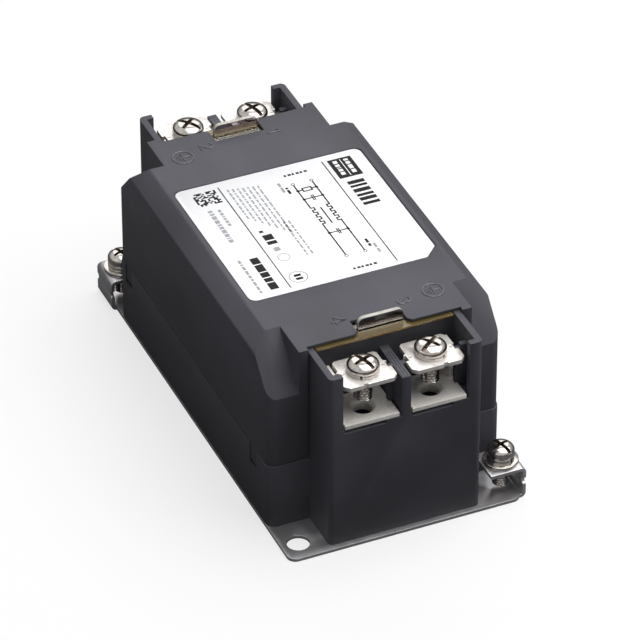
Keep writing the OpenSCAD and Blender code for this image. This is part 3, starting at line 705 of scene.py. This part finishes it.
# The print lies in mm on the label, whose lines run along Y. A line of bars is its x, its
# start and end in y, its height, its words and its seed.
RULES = [(-12.33, -20.4, -12.07, 19.8), (12.27, -20.4, 12.53, 19.8)]
DARK_PLATE = (13.5, 12.2, 19.0, 19.6)
PLATE_LINES = [(14.95, 18.9, 13.0, 1.0, 5, 1), (17.55, 18.9, 13.0, 1.0, 4, 2)]
PLATE_DIVIDER = (16.2, 12.7, 16.4, 19.1)
BOLD_FIELD = (14.3, 18.2)
BOLD_BARS = [(10.6, 1.2), (8.9, 0.8), (7.4, 1.3), (5.4, 0.9), (4.0, 1.2), (2.1, 1.0)]
CODE_CORNER, CODE_CELL, CODE_CELLS = (-18.6, 14.4), 0.45, (12, 11)
CODE_FILL, CODE_SEED = 0.55, 5
CODE_LINES = [(-15.2, 12.0, 5.2, 0.7, 6, 3), (-17.2, 12.4, -0.6, 1.0, 10, 4)]
BOLD_LINE = (-15.4, -7.4, -19.8, 1.9, 5, 5)
FINE_LINE = (-18.6, -7.0, -20.0, 0.6, 9, 6)
TABLE_LINES = [
    (-10.6 + row * 1.1, 18.2 - 0.2 * row, 6.0 - 1.4 * row, 0.42, 9 + row % 3, 7 + row)
    for row in range(7)
] + [(-4.2 + row * 1.2, 2.4, -11.2, 0.42, 9, 15 + row) for row in range(2)]
FIELD_BLOCKS = [
    (-10.5, -2.6, -8.3, -0.6),
    (-10.5, -4.3, -8.3, -3.1),
    (-10.5, 0.4, -9.6, 1.2),
    (-10.0, -18.4, -8.4, -17.6),
    (-10.0, -17.2, -8.4, -16.4),
]
FIELD_RINGS = [(-9.2, -9.6, 1.4, 0.2), (-9.2, -17.4, 2.1, 0.25)]
FIELD_PALE_BLOCK = (-10.1, -7.0, -8.7, -5.6)
# rows of small blocks and short lines at the ends of the circuit
END_ROWS_Y, END_ROW_X = (18.0, -19.4), np.arange(2.6, 7.6, 0.95)
END_LINES = [(9.4, -10.4, -13.6, 0.6, 2, 23), (1.4, 13.8, 11.0, 0.6, 2, 24)]
END_PALE_LINES = [(10.4, -12.4, -16.4, 0.6, 2, 25), (0.4, 16.0, 12.0, 0.6, 2, 26)]


def code_block(corner, cell, cells, fill, seed):
    """Small squares scattered as in a code block."""
    dark = np.random.default_rng(seed).random(cells) < fill
    places = [(corner[0] + i * cell, corner[1] + j * cell) for i, j in zip(*np.nonzero(dark))]
    return [patch(x, y, x + cell, y + cell) for x, y in places]


def end_row(y, short=0.55, longer=0.2, under=0.3, over=0.35):
    """Row of small blocks, every other one longer."""
    ends = [x + short + longer * (i % 2) for i, x in enumerate(END_ROW_X)]
    return [patch(x, y - under, end, y + over) for x, end in zip(END_ROW_X, ends)]


def wire(x0, y0, x1, y1, width=0.34):
    """Printed line of the circuit, along X or Y."""
    half = width / 2
    return patch(min(x0, x1) - half, min(y0, y1) - half, max(x0, x1) + half, max(y0, y1) + half)


def circuit():
    """Two rails with a resistor, two capacitors and a coupled pair of coils."""
    left, right, top, bottom = 3.2, 7.6, 13.9, -14.0
    coil_top, coil_bottom, turns = 4.6, -2.6, 4
    resistor_y, resistor_half, resistor_lead = 11.6, 0.6, 1.2
    capacitors_y, capacitor_half, capacitor_lead = (8.2, -5.4), 0.9, 2.0
    loop, pitch, core_x, core_gap = 0.7, 1.8, 5.3, 0.6
    joint_half, end_radius, end_gap, foil, ring_line = 0.3, 0.45, 0.45, 0.26, 0.16
    rails = (left, right)
    strokes = [wire(x, top, x, coil_top) for x in rails]
    strokes += [wire(x, coil_bottom, x, bottom) for x in rails]
    for y in capacitors_y:
        ends = (left + capacitor_lead, right - capacitor_lead)
        strokes += [wire(x, y, end, y) for x, end in zip(rails, ends)]
        strokes += [wire(x, y - capacitor_half, x, y + capacitor_half, foil) for x in ends]
    ends = (left + resistor_lead, right - resistor_lead)
    low, high = resistor_y - resistor_half, resistor_y + resistor_half
    strokes += [wire(x, resistor_y, end, resistor_y) for x, end in zip(rails, ends)]
    strokes += [wire(ends[0], y, ends[1], y) for y in (low, high)]
    strokes += [wire(x, low, x, high) for x in ends]
    for x, side in ((left, 1), (right, -1)):
        for i in range(turns):
            start = coil_top - pitch * i
            middle, end, far = start - pitch / 2, start - pitch, x + side * loop
            strokes += [wire(x, start, far, start), wire(far, start, far, middle)]
            strokes += [wire(x, middle, far, middle), wire(x, middle, x, end)]
    strokes.append(wire(core_x, coil_top - core_gap, core_x, coil_bottom + core_gap))
    for y in (*capacitors_y, resistor_y):
        strokes += [
            patch(x - joint_half, y - joint_half, x + joint_half, y + joint_half) for x in rails
        ]
    spots = [(x, y) for x in rails for y in (top + end_gap, bottom - end_gap)]
    return strokes + [ring_patch(x, y, end_radius, ring_line) for x, y in spots]


def lines_of_bars(lines, lift=INK_T):
    """Skins of several lines of bars."""
    return [bar for line in lines for bar in text_bars(*line, lift)]


black = [patch(*box) for box in (*RULES, DARK_PLATE)]
black += [patch(BOLD_FIELD[0], y - width, BOLD_FIELD[1], y) for y, width in BOLD_BARS]
black += code_block(CODE_CORNER, CODE_CELL, CODE_CELLS, CODE_FILL, CODE_SEED)
black += text_bars(*BOLD_LINE)
black += [patch(*box) for box in FIELD_BLOCKS] + circuit()
black += [block for y in END_ROWS_Y for block in end_row(y)] + lines_of_bars(END_LINES)
pale = lines_of_bars([*CODE_LINES, FINE_LINE, *TABLE_LINES])
pale += [ring_patch(*ring) for ring in FIELD_RINGS] + [patch(*FIELD_PALE_BLOCK)]
pale += lines_of_bars(END_PALE_LINES)
white = lines_of_bars(PLATE_LINES, 2 * INK_T) + [patch(*PLATE_DIVIDER, 2 * INK_T)]
piece("label_black_print", black, CASE, INK, sharp_deg=30)
piece("label_grey_print", pale, CASE, PALE_INK, sharp_deg=30)
piece("label_white_print", white, CASE, WHITE_INK, sharp_deg=30)

# punched dash on each side of a clamp washer, beside the head, drawn as a thin dark patch: painted
# shade of the punched recess
DASH_OUT, DASH_HALF, DASH_LIFT = 4.6, (0.4, 0.09), 0.012

for i in TERMINALS:
    low, high = node_box(f"clamp_washer_{i}")
    middle = (low + high) / 2
    dashes = []
    for side in (-1, 1):
        x, y = middle[0] + side * DASH_OUT, middle[1]
        box = (x - DASH_HALF[0], y - DASH_HALF[1], x + DASH_HALF[0], y + DASH_HALF[1])
        dashes.append(patch(*box, DASH_LIFT, high[2]))
    piece(f"clamp_washer_{i}_dashes", dashes, f"clamp_{i}", SHADOW_NICKEL, 30)

# ---------------------------------------------------------------- stage, light, camera

LIGHT_TARGET = (0, 0, 0.02)


def stage_floor(half=6.0, under=0.00003, glow_share=0.7):
    """Pale floor, half wide each way and a hair under the part: a softer grey to light
    that bounces on the part. To the camera it has a white glow of its own, as a lit sweep
    has, and still takes a faint soft shadow."""
    sockets = {"Roughness": 0.9, "Specular_IOR_Level": 0.0, "Emission_Color": (1, 1, 1, 1)}
    material, tree, shader, _ = finish("pale_floor", **sockets)
    seen = add(tree, "ShaderNodeLightPath").outputs["Is Camera Ray"]
    colour = blend_colours(tree, seen, "#6e6e70", "#8c8c8c")
    tree.links.new(colour, shader.inputs["Base Color"])
    glow = add(tree, "ShaderNodeMath", {1: glow_share}, {0: seen}, operation="MULTIPLY")
    tree.links.new(glow.outputs[0], shader.inputs["Emission Strength"])
    mesh = bpy.data.meshes.new("floor")
    corners = [(x * half, y * half, -under) for x, y in ((-1, -1), (1, -1), (1, 1), (-1, 1))]
    mesh.from_pydata(corners, [], [(0, 1, 2, 3)])
    mesh.materials.append(material)
    link_up("floor", mesh)


def backdrop_world(ambient, gloss_low, gloss_high, seen_level, through_share=0.4):
    """World that lights the part with ambient and shows as seen_level to the camera.
    Polished metal sees a room that is gloss_low at the horizon and gloss_high overhead,
    and a ray through clear plastic sees a share of both levels."""
    world = bpy.data.worlds.new("studio")
    bpy.context.scene.world = world
    world.use_nodes = True
    tree = world.node_tree
    path = add(tree, "ShaderNodeLightPath").outputs
    place = add(tree, "ShaderNodeTexCoord").outputs["Generated"]
    up = add(tree, "ShaderNodeSeparateXYZ", links={"Vector": place}).outputs["Z"]
    ranges = {"From Min": 0.05, "From Max": 0.55, "To Min": gloss_low, "To Max": gloss_high}
    room = add(tree, "ShaderNodeMapRange", ranges, {"Value": up}).outputs["Result"]
    links = {"Factor": path["Is Glossy Ray"], "B": room}
    level = add(tree, "ShaderNodeMix", {"A": ambient}, links).outputs["Result"]
    links = {0: path["Is Transmission Ray"]}
    through = add(tree, "ShaderNodeMath", {1: through_share}, links, operation="MULTIPLY")
    links = {0: path["Is Camera Ray"], 1: through.outputs[0]}
    seen = add(tree, "ShaderNodeMath", links=links, operation="MAXIMUM").outputs[0]
    level = add(tree, "ShaderNodeMix", {"B": seen_level}, {"Factor": seen, "A": level})
    background = tree.nodes["Background"].inputs
    tree.links.new(level.outputs["Result"], background["Strength"])
    background["Color"].default_value = (1, 1, 1, 1)


def aim(new, place, target):
    """Puts an object at place, looking at target, both in metres."""
    new.location = place
    new.rotation_euler = (Vector(target) - Vector(place)).to_track_quat("-Z", "Y").to_euler()


def soft_box(name, place, size, watts):
    """Square studio light aimed at the part."""
    data = bpy.data.lights.new(name, "AREA")
    data.shape = "RECTANGLE"
    data.size, data.size_y = size
    data.energy = watts
    aim(link_up(name, data), place, LIGHT_TARGET)


def studio_camera(place, target, lens_mm):
    """Long lens at the height and side of the usual product view."""
    data = bpy.data.cameras.new("camera")
    data.sensor_width = 36
    data.lens = lens_mm
    data.clip_start, data.clip_end = 0.05, 50
    new = link_up("camera", data)
    aim(new, place, target)
    bpy.context.scene.camera = new


stage_floor()
backdrop_world(ambient=0.25, gloss_low=0.08, gloss_high=0.9, seen_level=1.0)
soft_box("back_box", place=(0.55, 1.25, 1.05), size=(1.3, 0.9), watts=5.5)
soft_box("top_box", place=(0.5, -0.12, 1.37), size=(1.4, 1.4), watts=24.5)
studio_camera(place=(-0.34783, -0.80400, 0.66589), target=(0.00242, -0.00216, 0.020), lens_mm=281.3)
bpy.context.scene.view_settings.view_transform = "Standard"
